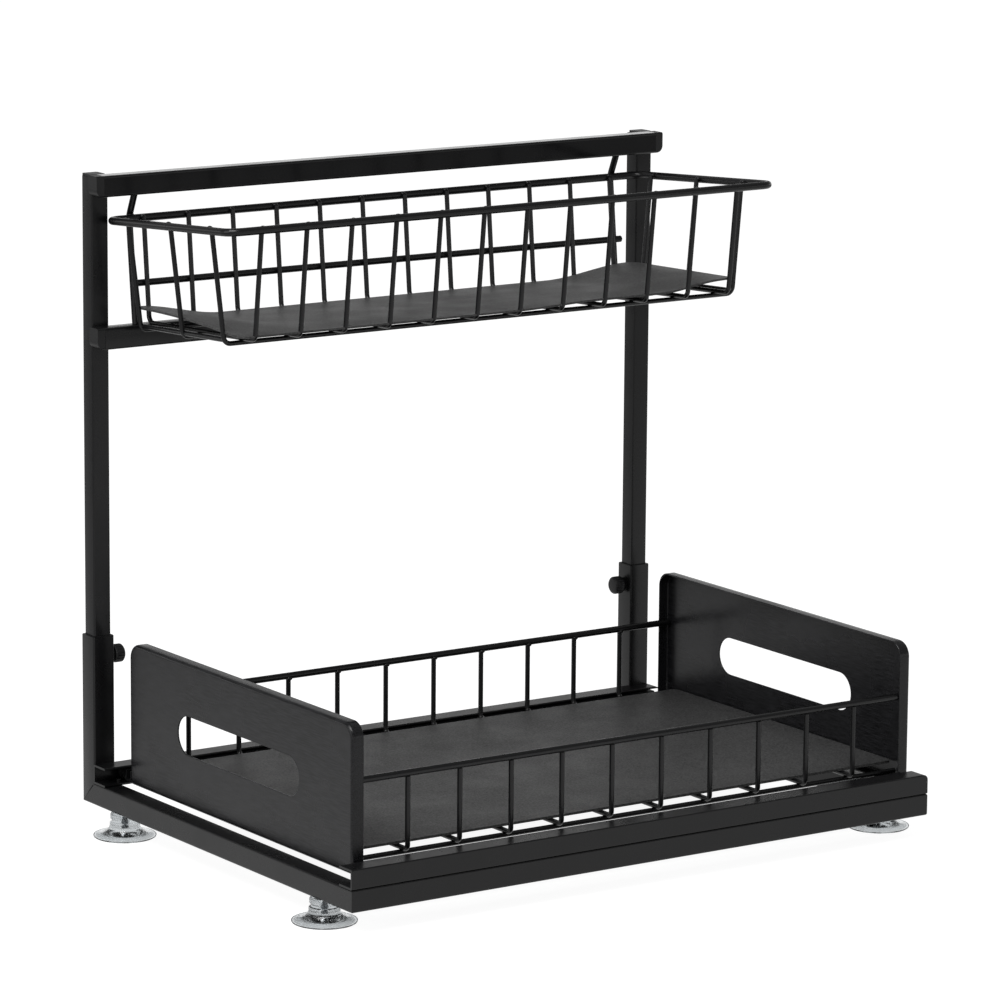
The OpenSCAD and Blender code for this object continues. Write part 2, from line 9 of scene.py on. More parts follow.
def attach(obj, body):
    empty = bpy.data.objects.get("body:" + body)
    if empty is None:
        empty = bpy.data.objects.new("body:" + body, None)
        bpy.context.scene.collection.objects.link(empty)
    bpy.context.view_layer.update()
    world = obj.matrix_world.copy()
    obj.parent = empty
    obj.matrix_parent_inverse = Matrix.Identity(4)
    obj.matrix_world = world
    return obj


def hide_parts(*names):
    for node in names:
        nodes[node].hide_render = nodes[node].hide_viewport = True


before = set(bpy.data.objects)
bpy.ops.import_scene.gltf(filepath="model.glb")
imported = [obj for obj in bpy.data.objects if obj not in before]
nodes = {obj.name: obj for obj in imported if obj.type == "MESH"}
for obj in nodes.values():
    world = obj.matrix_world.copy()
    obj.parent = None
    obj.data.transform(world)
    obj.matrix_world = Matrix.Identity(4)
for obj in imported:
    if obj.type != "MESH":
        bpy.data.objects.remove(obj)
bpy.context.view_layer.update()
MM = 0.001

# Camera: the photograph is taken from the front left, a little above the basket,
# with a long lens, so that the far verticals stay upright.
CAMERA_AT = (-1.7038, -2.50401, 0.79518)
camera_data = bpy.data.cameras.new("studio_camera")
camera_data.lens = 191.063
camera_data.sensor_width = 36.0
camera_data.clip_start = 0.05
camera_data.clip_end = 50.0
camera = bpy.data.objects.new("studio_camera", camera_data)
right = Vector((0.82825, -0.5603, 0.00773)).normalized()
ahead = Vector((0.55099, 0.81182, -0.1933)).normalized()
up = right.cross(ahead).normalized()
right = ahead.cross(up).normalized()
camera.matrix_world = Matrix((
    (right.x, up.x, -ahead.x, CAMERA_AT[0]),
    (right.y, up.y, -ahead.y, CAMERA_AT[1]),
    (right.z, up.z, -ahead.z, CAMERA_AT[2]),
    (0.0, 0.0, 0.0, 1.0)))
bpy.context.scene.collection.objects.link(camera)
bpy.context.scene.camera = camera

# Base frame: 13 mm square steel tube mitred at the front corners, with two flanged
# channels that carry the drawer. Its black powder coat flows to a fine orange peel; it
# mirrors the white studio on its sides and looks near black in front.
MIX_FACTOR, MIX_A, MIX_B, MIX_COLOUR = 0, 6, 7, 2
COAT_CLOUD = 26.3
CLOUD_SPAN = {"From Min": 0.35, "From Max": 0.65}


def linear(hex_colour):
    """Linear RGBA of an sRGB hex colour: c/12.92 up to 0.04045, ((c+0.055)/1.055)^2.4 above."""
    parts = [int(hex_colour[i:i + 2], 16) / 255 for i in (1, 3, 5)]
    light = [c / 12.92 if c <= 0.04045 else ((c + 0.055) / 1.055) ** 2.4 for c in parts]
    return (*light, 1.0)


def per_metre(size_mm):
    """Scale of a texture in object coordinates, in metres, whose pattern is this many mm wide."""
    return 1.0 / (size_mm * MM)


def add(tree, kind, settings=None, inputs=None, links=None):
    """Adds a shader node, sets its properties and sockets, and links its inputs."""
    made = tree.nodes.new(kind)
    for name, value in (settings or {}).items():
        setattr(made, name, value)
    for name, value in (inputs or {}).items():
        made.inputs[name].default_value = value
    for name, source in (links or {}).items():
        tree.links.new(source, made.inputs[name])
    return made


def new_material(name):
    """A material, its emptied node tree and its object coordinates."""
    made = bpy.data.materials.new(name)
    made.use_nodes = True
    tree = made.node_tree
    tree.nodes.clear()
    place = add(tree, "ShaderNodeTexCoord").outputs["Object"]
    return made, tree, place


def close_material(tree, shader):
    """Joins a shader to the material's output."""
    add(tree, "ShaderNodeOutputMaterial", links={"Surface": shader.outputs[0]})


def powder_coat(name, tones, gloss_low, gloss_high, peel_mm=0.9, peel_depth=0.012):
    """Semi-gloss coat: near-black, its roughness drifting in clouds, with a fine orange peel."""
    made, tree, place = new_material(name)
    cloud = add(tree, "ShaderNodeTexNoise", links={"Vector": place},
                inputs={"Scale": per_metre(COAT_CLOUD), "Detail": 3.0, "Roughness": 0.6})
    grain = add(tree, "ShaderNodeTexNoise", links={"Vector": place},
                inputs={"Scale": per_metre(peel_mm), "Detail": 2.0})
    rough = add(tree, "ShaderNodeMapRange", links={"Value": cloud.outputs["Fac"]},
                inputs={**CLOUD_SPAN, "To Min": gloss_low, "To Max": gloss_high})
    peel = add(tree, "ShaderNodeBump", links={"Height": grain.outputs["Fac"]},
               inputs={"Strength": 0.14, "Distance": peel_depth * MM})
    tone = add(tree, "ShaderNodeMix", {"data_type": "RGBA"},
               {MIX_A: linear(tones[0]), MIX_B: linear(tones[1])},
               {MIX_FACTOR: grain.outputs["Fac"]})
    shader = add(tree, "ShaderNodeBsdfPrincipled", inputs={"IOR": 1.5, "Specular IOR Level": 0.3},
                 links={"Base Color": tone.outputs[MIX_COLOUR], "Roughness": rough.outputs[0],
                        "Normal": peel.outputs[0]})
    close_material(tree, shader)
    return made


def wear(names, material):
    """Gives CAD nodes one material in place of their plain one."""
    for name in names:
        nodes[name].data.materials.clear()
        nodes[name].data.materials.append(material)


coat = powder_coat("black_powder_coat", ("#0a0a0b", "#101011"), 0.24, 0.34)
wear(["front_rail", "left_side_rail", "right_side_rail", "front_track", "rear_track",
      "left_weld_nut", "right_weld_nut"], coat)

# Sleeves: 14 mm square tube welded upright on the rear corners, its low end mitred to the
# side rail. The posts slide in them, and the coat is the frame's.
SLEEVE, SLEEVE_Y, SLEEVE_TOP, SLEEVE_WALL = 14.0, 140.5, 115.0, 1.2
SLEEVE_X = {"left": -193.0, "right": 192.5}
BASE_Z, TUBE = 14.0, 13.0


def skin(grids, closed_rows=False):
    """Vertices and faces of surfaces given as (rows, points, 3) grids of rings: each ring closes,
    neighbouring rings are joined, and the first and last ring are filled unless the rows close."""
    points, faces, start = [], [], 0
    for grid in grids:
        rows, count = grid.shape[:2]
        index = start + np.arange(rows * count).reshape(rows, count)
        across = np.roll(index, -1, axis=1)
        upper = np.roll(index, -1, axis=0)
        upper_across = np.roll(upper, -1, axis=1)
        keep = rows if closed_rows else rows - 1
        quads = np.stack([index[:keep], across[:keep], upper_across[:keep], upper[:keep]], axis=-1)
        faces += quads.reshape(-1, 4).tolist()
        if not closed_rows:
            faces += [index[0][::-1].tolist(), index[-1].tolist()]
        points.append(grid.reshape(-1, 3))
        start += rows * count
    return np.concatenate(points), faces


def piece(name, grids, material, body, replaced=(), closed_rows=False, sharp=35):
    """One object from grids in millimetres, faces turned outwards, smooth below the sharp angle."""
    points, faces = skin(grids, closed_rows)
    mesh = bpy.data.meshes.new(name)
    mesh.from_pydata((points * MM).tolist(), [], faces)
    shape = bmesh.new()
    shape.from_mesh(mesh)
    bmesh.ops.recalc_face_normals(shape, faces=shape.faces)
    shape.to_mesh(mesh)
    shape.free()
    mesh.polygons.foreach_set("use_smooth", np.ones(len(mesh.polygons), bool))
    mesh.set_sharp_from_angle(angle=math.radians(sharp))
    mesh.materials.append(material)
    made = bpy.data.objects.new(name, mesh)
    bpy.context.scene.collection.objects.link(made)
    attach(made, body)
    if replaced:
        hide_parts(*replaced)


def square_ring(width, depth, corner, steps=5):
    """Points around a rectangle whose corners are quarter circles, in two directions about 0."""
    a = np.radians(np.linspace(0, 90, steps))
    arc = corner * np.stack([np.cos(a), np.sin(a)], axis=1)
    out = []
    for k, (sx, sy) in enumerate(((1, 1), (-1, 1), (-1, -1), (1, -1))):
        c, s = math.cos(k * math.pi / 2), math.sin(k * math.pi / 2)
        middle = (sx * (width / 2 - corner), sy * (depth / 2 - corner))
        out.append(arc @ np.array([[c, s], [-s, c]]) + middle)
    return np.concatenate(out)


def tube(centre, width, depth, wall, low, high, axis=2, corner=1.1, edge=0.3):
    """Closed grid of an open square tube along one axis: outer ring low to high, then inner ring
    high to low. Its outer ends are bevelled by the edge."""
    rows = [(0, edge, low), (0, 0, low + edge), (0, 0, high - edge), (0, edge, high),
            (wall, 0, high), (wall, 0, low)]
    grid = []
    for inset, bevel, at in rows:
        shrink = 2 * (inset + bevel)
        ring = square_ring(width - shrink, depth - shrink, max(corner - inset, 0.4))
        grid.append(np.insert(ring + centre, axis, at, axis=1))
    return np.stack(grid)


def mitred(grid, rear, low, top_cut, slope):
    """The tube's grid with its low end cut on a slant: its z there = low + slope (rear - y)."""
    cut = low + slope * (rear - grid[:, :, 1])
    at_low_end = (grid[:, :, 2] < top_cut)[:, :, None] & np.array([False, False, True])
    return np.where(at_low_end, cut[:, :, None], grid)


for side, x in SLEEVE_X.items():
    upright = tube((x, SLEEVE_Y), SLEEVE, SLEEVE, SLEEVE_WALL, BASE_Z, SLEEVE_TOP)
    cut_end = mitred(upright, SLEEVE_Y + SLEEVE / 2, BASE_Z, BASE_Z + 6, TUBE / SLEEVE)
    piece(f"{side}_square_sleeve", [cut_end], coat, "base", [f"{side}_sleeve"],
          True, 40)

# Welds: short fillets run where the channels and bars meet the frame, ground a little
# and coated over, so they show as soft ridges with a broken gloss.
FRONT_Y, HALF = -147.5, 200.0


def fillet_weld(start, end, size, seed):
    """A half-buried rod from start to end. Its radius is size times 0.8, plus two sines of the
    length run, and falls to nothing at both ends as the root of 1 - (2 t - 1)^8."""
    start, end = np.asarray(start, float), np.asarray(end, float)
    t = np.linspace(0, 1, 36)
    length = np.linalg.norm(end - start)
    along = (end - start) / length
    side = np.cross(along, (0.31, 0.52, 0.79))
    side /= np.linalg.norm(side)
    other = np.cross(along, side)
    run = t * length
    reach = size * (0.8 + 0.14 * np.sin(run * 2.4 + seed) + 0.08 * np.sin(run * 5.3 + 2 * seed))
    reach *= np.sqrt(np.clip(1 - (2 * t - 1) ** 8, 0.02, 1))
    a = np.linspace(0, 2 * math.pi, 14, endpoint=False)
    ring = np.cos(a)[None, :, None] * side + np.sin(a)[None, :, None] * other
    return (start + t[:, None] * (end - start))[:, None] + reach[:, None, None] * ring


beads = []
for k, sign in enumerate((-1, 1)):
    inner_x, corner_y, rail_top = sign * (HALF - TUBE), FRONT_Y + TUBE - 1.5, BASE_Z + TUBE + 0.1
    beads.append(fillet_weld([inner_x, SLEEVE_Y - 6, rail_top],
                             [sign * (HALF - 1), SLEEVE_Y - 7, rail_top], 0.9, k))
    beads.append(fillet_weld([inner_x, corner_y, BASE_Z + 1],
                             [inner_x, corner_y, BASE_Z + TUBE - 1], 1.1, 3 + k))
piece("base_fillet_welds", beads, coat, "base", sharp=70)

# Feet: clear soft PVC moulded in one, a thin bell that grips the floor under a stepped
# neck, on a zinc screw that turns into the tube.
FOOT_X, FOOT_Y = 193.5, 109.5
clear_mat, tree, place = new_material("clear_soft_pvc")
flow = add(tree, "ShaderNodeTexNoise", links={"Vector": place},
           inputs={"Scale": per_metre(8.33), "Detail": 1.0})
ripple = add(tree, "ShaderNodeBump", links={"Height": flow.outputs["Fac"]},
             inputs={"Strength": 0.2, "Distance": 0.2 * MM})
close_material(tree, add(tree, "ShaderNodeBsdfPrincipled", links={"Normal": ripple.outputs[0]},
                         inputs={"Base Color": linear("#bfc3c5"), "IOR": 1.4, "Roughness": 0.16,
                                 "Transmission Weight": 1.0}))
zinc_mat, tree, place = new_material("zinc_plated_steel")
stain = add(tree, "ShaderNodeTexNoise", links={"Vector": place},
            inputs={"Scale": per_metre(2.5), "Detail": 2.0})
tone = add(tree, "ShaderNodeMix", {"data_type": "RGBA"},
           {MIX_A: linear("#5c5e61"), MIX_B: linear("#8c8e91")},
           {MIX_FACTOR: stain.outputs["Fac"]})
rough = add(tree, "ShaderNodeMapRange", links={"Value": stain.outputs["Fac"]},
            inputs={"To Min": 0.28, "To Max": 0.42})
close_material(tree, add(tree, "ShaderNodeBsdfPrincipled", inputs={"Metallic": 1.0},
                         links={"Base Color": tone.outputs[MIX_COLOUR],
                                "Roughness": rough.outputs[0]}))
wear(["foot_screws", "track_roller_pins", "runner_roller_pins", "left_screw", "right_screw"],
     zinc_mat)


def turned(profile, at, sides=64):
    """Grid of rings of a turned shape: each (radius, height) swept about the upright at (x, y)."""
    angle = np.linspace(0, 2 * math.pi, sides, endpoint=False)
    radius, height = np.asarray(profile, float).T[:, :, None, None]
    ring = np.stack([np.cos(angle), np.sin(angle), np.zeros(sides)], axis=1)
    return radius * ring + np.array([at[0], at[1], 0.0]) + height * np.array([0, 0, 1.0])


hollow = [(17.0 * t, 2.8 * (1 - t * t)) for t in np.linspace(0.02, 1, 12)]
bell = [(18.5 - 9.6 * math.sin(a), 1.0 + 6.0 * (1 - math.cos(a)))
        for a in np.radians(np.linspace(0, 90, 12))]
lip = [(17.4, 0.0), (17.9, 0.0), (18.35, 0.25), (18.5, 0.6)]
neck = [(8.9, 8.2), (8.5, 8.7), (7.7, 9.0), (7.6, 10.2), (8.0, 10.6), (8.5, 11.0), (8.5, 13.2),
        (8.2, 13.8), (7.6, 14.0)]
bore = [(2.3, 14.0), (2.1, 13.8), (2.1, 5.0), (1.8, 4.8), (0.3, 4.8)]
for side, x in (("left", -FOOT_X), ("right", FOOT_X)):
    for end, y in (("front", -FOOT_Y), ("rear", FOOT_Y)):
        piece(f"{end}_{side}_suction_foot", [turned(hollow + lip + bell + neck + bore, (x, y))],
              clear_mat, "base", [f"{end}_{side}_foot"], sharp=50)

# Posts: 11 mm square tube that slides in the sleeves, with a moulded cap pressed into
# each top. At the lowest setting its foot still clears the mitred joint in the sleeve.
POST, POST_WALL, POST_LOW, POST_TOP = 11.2, 1.0, 62.0, 385.75
moulded = powder_coat("moulded_black_abs", ("#0c0c0d", "#121213"), 0.36, 0.46, 0.5, 0.006)
wear(["post_caps", "rail_end_caps", "front_track_roller", "rear_track_roller",
      "front_runner_roller", "rear_runner_roller"], moulded)
for side, x in SLEEVE_X.items():
    piece(f"{side}_square_post",
          [tube((x, SLEEVE_Y), POST, POST, POST_WALL, POST_LOW, POST_TOP)],
          coat, "upper_frame", [f"{side}_post"], True, 40)

# Rails: a top rail and a crossbar of flat-sided tube welded across the fronts of the
# posts, closed by moulded end caps. The top rail's coat is glossier than the rest.
CROSS_LOW, CROSS_TOP, RAIL_UNDER, RAIL_TOP = 285.7, 298.5, 374.5, 387.0
BAR_Y, BAR_DEPTH, BAR_WALL, BAR_END, POST_X = 131.0, 10, 1.0, 195.0, 193.0
rail_coat = powder_coat("black_gloss_powder_coat", ("#0a0a0b", "#101011"), 0.1, 0.16)
wear(["top_rail"], rail_coat)
piece("crossbar_tube",
      [tube((BAR_Y, (CROSS_LOW + CROSS_TOP) / 2), BAR_DEPTH, CROSS_TOP - CROSS_LOW, BAR_WALL,
            -BAR_END, BAR_END, 0)],
      coat, "upper_frame", ["crossbar"], True, 40)
beads = []
for k, sign in enumerate((-1, 1)):
    for low, high in ((CROSS_LOW, CROSS_TOP), (RAIL_UNDER, RAIL_TOP)):
        x = sign * (POST_X - POST / 2)
        beads.append(fillet_weld([x, BAR_Y + 5.1, low + 1], [x, BAR_Y + 5.1, high - 1], 0.9, 5 + k))
        beads.append(fillet_weld([x, BAR_Y + 5.3, low + 0.1],
                                 [sign * (HALF - 3), BAR_Y + 5.3, low + 0.1], 0.8, 8 + k))
piece("upper_fillet_welds", beads, coat, "upper_frame", sharp=70)

# Thumb screws: black moulded knobs with fine straight flutes on zinc screws; each turns
# in a nut welded to the inner face of its sleeve.
KNOB_BACK, KNOB_Y, KNOB_Z, KNOB_SIDES, FLUTES, FLUTE_DEPTH = 183.5, 141, 102, 240, 24, 0.045
angle = np.linspace(0, 2 * math.pi, KNOB_SIDES, endpoint=False)
groove = -FLUTE_DEPTH * (0.5 - 0.5 * np.cos(FLUTES * angle)) ** 0.6
knob = [(0.3, 7.0, 0), (3.6, 7.0, 0), (4.4, 6.75, 0), (5.0, 6.3, 0.6), (5.45, 5.8, 1),
        (5.45, 1.4, 1), (5.2, 0.7, 0.6), (4.6, 0.15, 0), (4.2, 0.0, 0), (2.56, 0.0, 0),
        (2.56, 2.0, 0), (2.56, 4.2, 0), (0.3, 4.25, 0)]
for side, sign in (("left", -1), ("right", 1)):
    grid = np.stack([
        np.stack([np.full(KNOB_SIDES, sign * (KNOB_BACK - height)),
                  KNOB_Y + radius * (1 + deep * groove) * np.cos(angle),
                  KNOB_Z + radius * (1 + deep * groove) * np.sin(angle)], axis=1)
        for radius, height, deep in knob])
    piece(f"{side}_fluted_knob", [grid], moulded, f"{side}_knob", [f"{side}_knob"],
          sharp=50)

# Basket: bent from drawn steel wire, a 4.6 mm rim, 4 mm hangers and back wire, and
# 2.9 mm cross and long wires, spot-welded and coated. Its floor falls to the rear.
SINK = 0.15
RIM_X0, RIM_X1, RIM_Y0, RIM_Y1, RIM_Z0, RIM_Z1 = -189.2, 187.4, -4.0, 133.1, 370.3, 360.5
RIM_D, HANGER_D, WIRE_D, BACK_D = 4.6, 4.0, 2.9, 4.0
RIM_ROLL = 0.4
HANGERS = (("left", -172.2), ("right", 168.6))
HANGER_Y = RIM_Y1 + (RIM_D + HANGER_D) / 2 - SINK
BACK_X0, BACK_X1, BACK_Z = -174.5, 172, 322.7
FLOOR_Y0, FLOOR_Y1, FLOOR_Z0, FLOOR_Z1 = 6.5, 123.8, 306.2, 300.0
TOP_Y0, TOP_Y1, STICK_OUT = -0.6, 129.6, 1.1
CROSS_COUNT, CROSS_MIDDLE, CROSS_PITCH = 12, -1.8, 30
LONG_X0, LONG_X1, LONG_Y = -177.4, 178.0, {"rear": 115.2, "middle": 68.0, "front": 22.6}
SIDE_X, SIDE_Y0, SIDE_Y1, SIDE_DROP = (-176.4, 175.4), 24.0, 114.0, 0.6
wire_coat = powder_coat("black_powder_coat_on_wire", ("#0a0a0b", "#111112"), 0.22, 0.32, 0.7)


def rounded_path(corners, radius, closed=False, steps=8):
    """Points along straight legs whose corners become arcs: each arc touches both legs at
    radius * tan(half the turn) from the corner, about a centre on the bisector."""
    corners = np.asarray(corners, float)
    count = len(corners)
    path = [] if closed else [corners[0]]
    for i in range(count) if closed else range(1, count - 1):
        back = corners[i - 1] - corners[i]
        on = corners[(i + 1) % count] - corners[i]
        back, on = back / np.linalg.norm(back), on / np.linalg.norm(on)
        turn = math.pi - math.acos(float(back @ on))
        bisector = (back + on) / np.linalg.norm(back + on)
        middle = corners[i] + bisector * radius / math.cos(turn / 2)
        first = corners[i] + back * radius * math.tan(turn / 2) - middle
        angle = np.linspace(0, turn, steps)[:, None]
        path.extend(middle + np.cos(angle) * first - np.sin(angle) * back * radius)
    return np.array(path if closed else path + [corners[-1]])


def wire(corners, diameter, bend, closed=False, steps=8, sides=16):
    """Grid of rings along a flat wire: ring = centre + radius (cos a n + sin a b), where n is the
    normal of the wire's plane and b is square to it and to the path. Open ends are eased."""
    path = rounded_path(corners, bend, closed, steps)
    if closed:
        along = np.roll(path, -1, axis=0) - np.roll(path, 1, axis=0)
    else:
        along = np.gradient(path, axis=0)
    along /= np.linalg.norm(along, axis=1)[:, None]
    corners = np.asarray(corners, float)
    if len(corners) > 2:
        normal = np.cross(corners[1] - corners[0], corners[2] - corners[1])
    else:
        normal = np.cross(along[0], (0.3, 0.5, 0.8))
    normal /= np.linalg.norm(normal)
    other = np.cross(along, normal)
    other /= np.linalg.norm(other, axis=1)[:, None]
    reach = np.full(len(path), diameter / 2)
    if not closed:
        ease = diameter * 0.12
        path = np.concatenate([path[:1], path[:1] + along[:1] * ease, path[1:-1],
                               path[-1:] - along[-1:] * ease, path[-1:]])
        other = np.concatenate([other[:1], other, other[-1:]])
        reach = np.concatenate([[reach[0] * 0.72], reach, [reach[0] * 0.72]])
    turn = np.linspace(0, 2 * math.pi, sides, endpoint=False)
    ring = np.cos(turn)[None, :, None] * normal + np.sin(turn)[None, :, None] * other[:, None]
    return path[:, None] + reach[:, None, None] * ring


def hanger_y(z):
    """The hanger's y below its knee: a straight line from the knee to the crossbar."""
    return BAR_Y + (HANGER_Y - BAR_Y) * (z - CROSS_TOP) / (RIM_Z1 - CROSS_TOP)


def floor_z(y):
    """Height of the cross wires' middle line: straight from the front bend to the rear bend."""
    return FLOOR_Z1 + (FLOOR_Z0 - FLOOR_Z1) * (FLOOR_Y1 - y) / (FLOOR_Y1 - FLOOR_Y0)


def rim_z(y):
    """Height of the rim's middle line at y."""
    return RIM_Z1 + (RIM_Z0 - RIM_Z1) * (RIM_Y1 - y) / (RIM_Y1 - RIM_Y0)


def long_wire(y):
    """A long wire across the basket at y: inside the rim at its ends, and under the cross wires."""
    low, top = floor_z(y) - WIRE_D + SINK, rim_z(y) + STICK_OUT
    inside = (RIM_D + WIRE_D) / 2 - SINK
    corners = [[RIM_X0 + inside, y, top], [LONG_X0, y, low], [LONG_X1, y, low],
               [RIM_X1 - inside, y, top]]
    return wire(corners, WIRE_D, 4.6)


for side, x in HANGERS:
    path = [[x, BAR_Y, RAIL_UNDER + 0.3], [x, HANGER_Y, RIM_Z1], [x, BAR_Y - 0.5, CROSS_TOP - 0.3]]
    piece(f"{side}_hanger_wire", [wire(path, HANGER_D, 14)], wire_coat, "upper_frame",
          [f"{side}_hanger"])
rim = [[RIM_X0, RIM_Y0, RIM_Z0 - RIM_ROLL], [RIM_X1, RIM_Y0, RIM_Z0 + RIM_ROLL],
       [RIM_X1, RIM_Y1, RIM_Z1 + RIM_ROLL], [RIM_X0, RIM_Y1, RIM_Z1 - RIM_ROLL]]
piece("basket_rim_wire", [wire(rim, RIM_D, 8, True, 12, 20)], wire_coat, "upper_frame",
      ["basket_rim"], True)
back_y = hanger_y(BACK_Z) - HANGER_D + SINK
piece("basket_back_rod", [wire([[BACK_X0, back_y, BACK_Z], [BACK_X1, back_y, BACK_Z]], BACK_D, 1)],
      wire_coat, "upper_frame", ["basket_back_wire"])
cross_x = CROSS_MIDDLE + (np.arange(CROSS_COUNT) - (CROSS_COUNT - 1) / 2) * CROSS_PITCH
piece("basket_cross_rods", [
    wire([[x, TOP_Y0 - 0.1 * STICK_OUT, RIM_Z0 + STICK_OUT], [x, FLOOR_Y0, FLOOR_Z0],
          [x, FLOOR_Y1, FLOOR_Z1], [x, TOP_Y1 + 0.1 * STICK_OUT, RIM_Z1 + STICK_OUT]], WIRE_D, 4.4)
    for x in cross_x], wire_coat, "upper_frame", ["basket_cross_wires"])
for name, stands_for in (("rear", ()), ("middle", ["basket_long_wire_rear"]),
                         ("front", ["basket_long_wire_front"])):
    piece(f"basket_{name}_long_rod", [long_wire(LONG_Y[name])], wire_coat, "upper_frame",
          stands_for)
side_rods = [wire([[x, y, floor_z(y) - SIDE_DROP] for y in (SIDE_Y0, SIDE_Y1)], WIRE_D, 1)
             for x in SIDE_X]
piece("basket_side_rods", side_rods, wire_coat, "upper_frame", ["basket_base_ring"])

# Weld nuggets: each wire is pressed into the rim as it is spot-welded, which leaves a
# small bright swelling on the crossing.
turn_a, turn_b = np.meshgrid(np.linspace(0, 2 * math.pi, 12, endpoint=False),
                             np.linspace(0.05, math.pi - 0.05, 7))
ball = np.stack([np.sin(turn_b) * np.cos(turn_a), np.sin(turn_b) * np.sin(turn_a), np.cos(turn_b)],
                axis=2)
nuggets = [ball * (1.8, 1.4, 0.95) + (x, y, z + 1.3 + RIM_ROLL * x / 190)
           for y, z in ((TOP_Y0 - 1.2, RIM_Z0), (TOP_Y1 + 1.2, RIM_Z1)) for x in cross_x]
nuggets += [ball * (1.4, 1.8, 0.95) + (x, y, rim_z(y) + 1.2)
            for x in (RIM_X0 + 2.6, RIM_X1 - 2.6) for y in sorted(LONG_Y.values())]
nuggets += [ball * (2.2, 1.6, 1.6) + (x, HANGER_Y - 1.9, RIM_Z1 + 1.2) for _, x in HANGERS]
piece("basket_weld_nuggets", nuggets, wire_coat, "upper_frame", sharp=80)

# Basket liner: a loose sheet of dark grey embossed plastic, matt, with a fine bumped stipple;
# its pale specks are painted highlights, put into the colour where the stipple stands high. Its
# short ends curl up at the rear corners.
LINER_X0, LINER_X1, LINER_Y0, LINER_Y1 = -178.0, 176.5, FLOOR_Y0 - 1.0, FLOOR_Y1 - 1.5
LINER_LOW, LINER_THICK, LINER_TAPER = WIRE_D / 2 - SINK, 1.2, 10
liner_mat, tree, place = new_material("embossed_grey_sheet_painted_glints")
stipple_and_painted_glint = add(tree, "ShaderNodeTexNoise", links={"Vector": place},
            inputs={"Scale": per_metre(1.111), "Detail": 3.0, "Roughness": 0.7})
cloud = add(tree, "ShaderNodeTexNoise", links={"Vector": place},
            inputs={"Scale": per_metre(33.3), "Detail": 3.0})
# Painted highlights: the same noise that raises the stipple makes its high points pale specks in
# the colour.
tone = add(tree, "ShaderNodeValToRGB", links={"Fac": stipple_and_painted_glint.outputs["Fac"]})
for stop, position, shade in zip(tone.color_ramp.elements, (0.36, 0.64), ("#222222", "#4c4c4c")):
    stop.position, stop.color = position, linear(shade)
dents = add(tree, "ShaderNodeBump", links={"Height": stipple_and_painted_glint.outputs["Fac"]},
            inputs={"Strength": 0.5, "Distance": 0.2 * MM})
rough = add(tree, "ShaderNodeMapRange", links={"Value": cloud.outputs["Fac"]},
            inputs={**CLOUD_SPAN, "To Min": 0.48, "To Max": 0.6})
close_material(tree, add(tree, "ShaderNodeBsdfPrincipled",
                         inputs={"IOR": 1.46, "Specular IOR Level": 0.3},
                         links={"Base Color": tone.outputs[0], "Roughness": rough.outputs[0],
                                "Normal": dents.outputs[0]}))


def sheet(x0, x1, y0, y1, z0, z1, corner, lift, wide=140, deep=48):
    """A slab with round corners: rings across the depth, top then under side, for each x. The
    depth shrinks near both ends along the corners' circle, and lift(x, v) raises both faces."""
    middle, half_x, half_y = ((x0 + x1) / 2, (y0 + y1) / 2), (x1 - x0) / 2, (y1 - y0) / 2
    t = np.linspace(-1, 1, wide)
    x = np.sign(t) * (1 - (1 - np.abs(t)) ** 1.6) * half_x
    past = np.clip(np.abs(x) - (half_x - corner), 0, corner)
    reach = half_y - corner + np.sqrt(corner ** 2 - past ** 2)
    across = reach[:, None] * np.linspace(-1, 1, deep)
    flat_x = np.repeat(x[:, None], deep, axis=1)
    rise = lift(flat_x, across / half_y)
    top = np.stack([flat_x + middle[0], across + middle[1], z1 + rise], axis=2)
    under = np.stack([flat_x + middle[0], across + middle[1], z0 + rise], axis=2)[:, ::-1]
    return np.concatenate([top, under], axis=1)


def ease(value):
    """Smooth step from 0 to 1: t t (3 - 2 t)."""
    t = np.clip(value, 0, 1)
    return t * t * (3 - 2 * t)


def curl(x, v):
    """The liner's height at x from its middle and v from -1, front, to 1, rear: the floor's slope,
    an end that lifts 8 mm at the left, more towards the rear, one that lifts 6.5 mm at the right,
    and a front edge that is slack by 1.8 mm."""
    back = (v + 1) / 2
    left = 8.0 * ease((-x - 118) / 58) * (1 - (1 - back) ** 2)
    right = 6.5 * ease((x - 112) / 60) * (0.75 + 0.25 * back)
    slack = 1.8 * ease((x - 10) / 60) * (1 - back)
    return floor_z(LINER_Y0 + back * (LINER_Y1 - LINER_Y0)) + left + right + slack


liner = sheet(LINER_X0, LINER_X1, LINER_Y0, LINER_Y1, LINER_LOW, LINER_LOW + LINER_THICK, 8, curl)
forward = (LINER_Y1 - liner[:, :, 1]) / (LINER_Y1 - LINER_Y0)
liner[:, :, 0] -= LINER_TAPER * ease((liner[:, :, 0] - 110) / 60) * forward
piece("basket_liner_sheet", [liner], liner_mat, "upper_frame", ["basket_liner"])

# Drawer end plates: 1 mm steel sheet with a stamped stadium hand slot and all four edges
# folded inwards over a 2 mm radius; its upper corners are round. The coat shows the
# sheet's rolling grain as fine level streaks.
DRAWER_X0, DRAWER_X1, DRAWER_MID, SLIDE_MID = -187.0, 200.0, 6.5, -6.5
PLATE_Y0, PLATE_Z, PLATE_W, PLATE_H, LOW_R, TOP_R = -127.5, 29.1, 242, 85, 2.2, 9
SHEET, FOLD_R, FLANGE = 1.0, 2, 7.5
SLOT_W, SLOT_H, SLOT_AT = 132, 23, (121, 42.5)
LEG_POINTS = (26, 8, 12, 12, 26, 12, 12, 8)
plate_coat, tree, place = new_material("black_powder_coat_on_sheet")
stretch = add(tree, "ShaderNodeMapping", inputs={"Scale": (1.0, 0.06, 1.0)},
              links={"Vector": place})
grain = add(tree, "ShaderNodeTexNoise", links={"Vector": stretch.outputs[0]},
            inputs={"Scale": per_metre(0.625), "Detail": 3.0})
